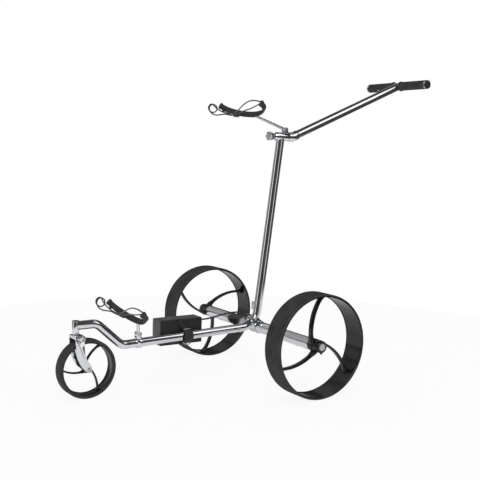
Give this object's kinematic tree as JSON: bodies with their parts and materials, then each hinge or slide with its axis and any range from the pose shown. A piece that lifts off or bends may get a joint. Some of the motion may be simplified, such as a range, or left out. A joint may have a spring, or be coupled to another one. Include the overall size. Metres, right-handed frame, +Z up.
{
  "type": "electric golf trolley",
  "caption": "Wheeled electric golf trolley: bent chrome mast and front tube, driven rear wheels, swivelling nose wheel, bag cradles with elastic cords, battery and T handle.",
  "frame": {"origin": "on the ground, at the centre of the whole trolley's footprint box", "axes": "+Z up, +Y towards the handle (rear), -Y the way the trolley is pushed, +X the trolley's left side"},
  "size_m": [0.662, 1.2174, 0.9395],
  "materials": {
    "polished_chrome": "mirror-polished chrome plate",
    "plain_steel": "plain machined or zinc-plated steel",
    "silver_plastic": "silver-grey moulded plastic, satin",
    "battery_plastic": "fine-textured black plastic",
    "wheel_plastic": "semi-gloss black moulded plastic",
    "tread_rubber": "matte dark rubber with fine grooves",
    "soft_rubber": "soft matte black rubber",
    "strap_webbing": "woven black hook-and-loop webbing",
    "cell_wrap": "shrink-wrapped round cells",
    "circuit_board": "solder-masked board with black parts",
    "copper_winding": "wound copper and laminated iron rotor"
  },
  "bodies": {
    "frame": {"rear_frame_tube": "polished_chrome", "axle_tube": "polished_chrome", "axle_cheeks": "polished_chrome", "front_tube": "polished_chrome", "head_tube": "polished_chrome", "stem_bearings": "plain_steel", "snap_spring": "plain_steel", "mast_tab": "silver_plastic", "motor_left": "plain_steel", "motor_right": "plain_steel", "gearbox_left": "plain_steel", "gearbox_right": "plain_steel", "axle_bearings": "plain_steel", "frame_screws": "plain_steel", "power_socket": "plain_steel", "controller_board": "circuit_board", "mast_head": "polished_chrome", "upper_hinge_bolt": "plain_steel", "lower_hinge_clamp": "polished_chrome", "lower_hinge_bolt": "plain_steel", "battery_case": "battery_plastic", "battery_lid": "battery_plastic", "battery_cells": "cell_wrap", "strap_rings": "plain_steel", "battery_strap": "strap_webbing", "battery_plug": "battery_plastic", "battery_cable": "soft_rubber"},
    "handle": {"handle_tube": "polished_chrome", "handle_stub": "plain_steel", "handle_crossbar": "polished_chrome", "grip_left": "soft_rubber", "grip_right": "soft_rubber", "grip_rings": "polished_chrome", "grip_caps": "battery_plastic", "speed_pot": "plain_steel"},
    "speed_dial": {"speed_knob": "silver_plastic"},
    "clamp_screw": {"star_knob": "polished_chrome", "clamp_bolt": "plain_steel"},
    "snap": {"snap_button": "plain_steel"},
    "upper_bracket": {"upper_rod": "polished_chrome", "upper_arm": "soft_rubber", "upper_cord": "soft_rubber"},
    "lower_bracket": {"lower_post": "polished_chrome", "lower_arm": "soft_rubber", "lower_cord": "soft_rubber"},
    "left_wheel": {"wheel_left": "wheel_plastic", "tyre_left": "tread_rubber", "drive_shaft_left": "plain_steel"},
    "left_release": {"release_button_left": "silver_plastic"},
    "right_wheel": {"wheel_right": "wheel_plastic", "tyre_right": "tread_rubber", "drive_shaft_right": "plain_steel"},
    "right_release": {"release_button_right": "silver_plastic"},
    "left_rotor": {"rotor_left": "copper_winding"},
    "right_rotor": {"rotor_right": "copper_winding"},
    "front_fork": {"fork": "polished_chrome", "fork_bolts": "plain_steel", "front_axle": "plain_steel"},
    "nose_wheel": {"front_wheel": "wheel_plastic", "front_tyre": "tread_rubber"}
  },
  "joints": [
    {"name": "wheel_left_spin", "type": "hinge", "parent": "frame", "child": "left_wheel", "pos_m": [0.2955, 0.04225, 0.15], "axis": [1, 0, 0], "continuous": true},
    {"name": "wheel_right_spin", "type": "hinge", "parent": "frame", "child": "right_wheel", "pos_m": [-0.2955, 0.04225, 0.15], "axis": [1, 0, 0], "continuous": true},
    {"name": "release_left_press", "type": "slide", "parent": "left_wheel", "child": "left_release", "axis": [-1, 0, 0], "range_m": [0, 0.003], "stiffness_N_per_m": 400, "springref_m": -0.004},
    {"name": "release_right_press", "type": "slide", "parent": "right_wheel", "child": "right_release", "axis": [1, 0, 0], "range_m": [0, 0.003], "stiffness_N_per_m": 400, "springref_m": -0.004},
    {"name": "rotor_left_spin", "type": "hinge", "parent": "frame", "child": "left_rotor", "pos_m": [0.12, 0.04225, 0.15], "axis": [1, 0, 0], "continuous": true},
    {"name": "rotor_right_spin", "type": "hinge", "parent": "frame", "child": "right_rotor", "pos_m": [-0.12, 0.04225, 0.15], "axis": [1, 0, 0], "continuous": true},
    {"name": "fork_swivel", "type": "hinge", "parent": "frame", "child": "front_fork", "pos_m": [0, -0.55725, 0.2], "axis": [0, 0, 1], "continuous": true},
    {"name": "front_wheel_spin", "type": "hinge", "parent": "front_fork", "child": "nose_wheel", "pos_m": [0, -0.52575, 0.083], "axis": [1, 0, 0], "continuous": true},
    {"name": "handle_swivel", "type": "hinge", "parent": "frame", "child": "handle", "pos_m": [0, 0.11254, 0.74], "axis": [0, 1, 0], "range_deg": [-180, 180]},
    {"name": "clamp_knob_turn", "type": "hinge", "parent": "frame", "child": "clamp_screw", "pos_m": [0, 0.08254, 0.74], "axis": [0, 1, 0], "range_deg": [0, 720]},
    {"name": "speed_knob_turn", "type": "hinge", "parent": "handle", "child": "speed_dial", "pos_m": [-0.084, 0.59225, 0.904], "axis": [0, 0, -1], "range_deg": [0, 270]},
    {"name": "snap_button_press", "type": "slide", "parent": "frame", "child": "snap", "axis": [-1, 0, 0], "range_m": [0, 0.004], "stiffness_N_per_m": 900, "springref_m": -0.004},
    {"name": "upper_bracket_tilt", "type": "hinge", "parent": "frame", "child": "upper_bracket", "pos_m": [0, 0.12804, 0.762], "axis": [1, 0, 0], "range_deg": [-110, 12]},
    {"name": "lower_bracket_tilt", "type": "hinge", "parent": "frame", "child": "lower_bracket", "pos_m": [0, -0.36775, 0.16324], "axis": [1, 0, 0], "range_deg": [-60, 40]}
  ],
  "couplings": [
    {"joint": "rotor_left_spin", "follows": "wheel_left_spin", "ratio": 18},
    {"joint": "rotor_right_spin", "follows": "wheel_right_spin", "ratio": 18}
  ]
}
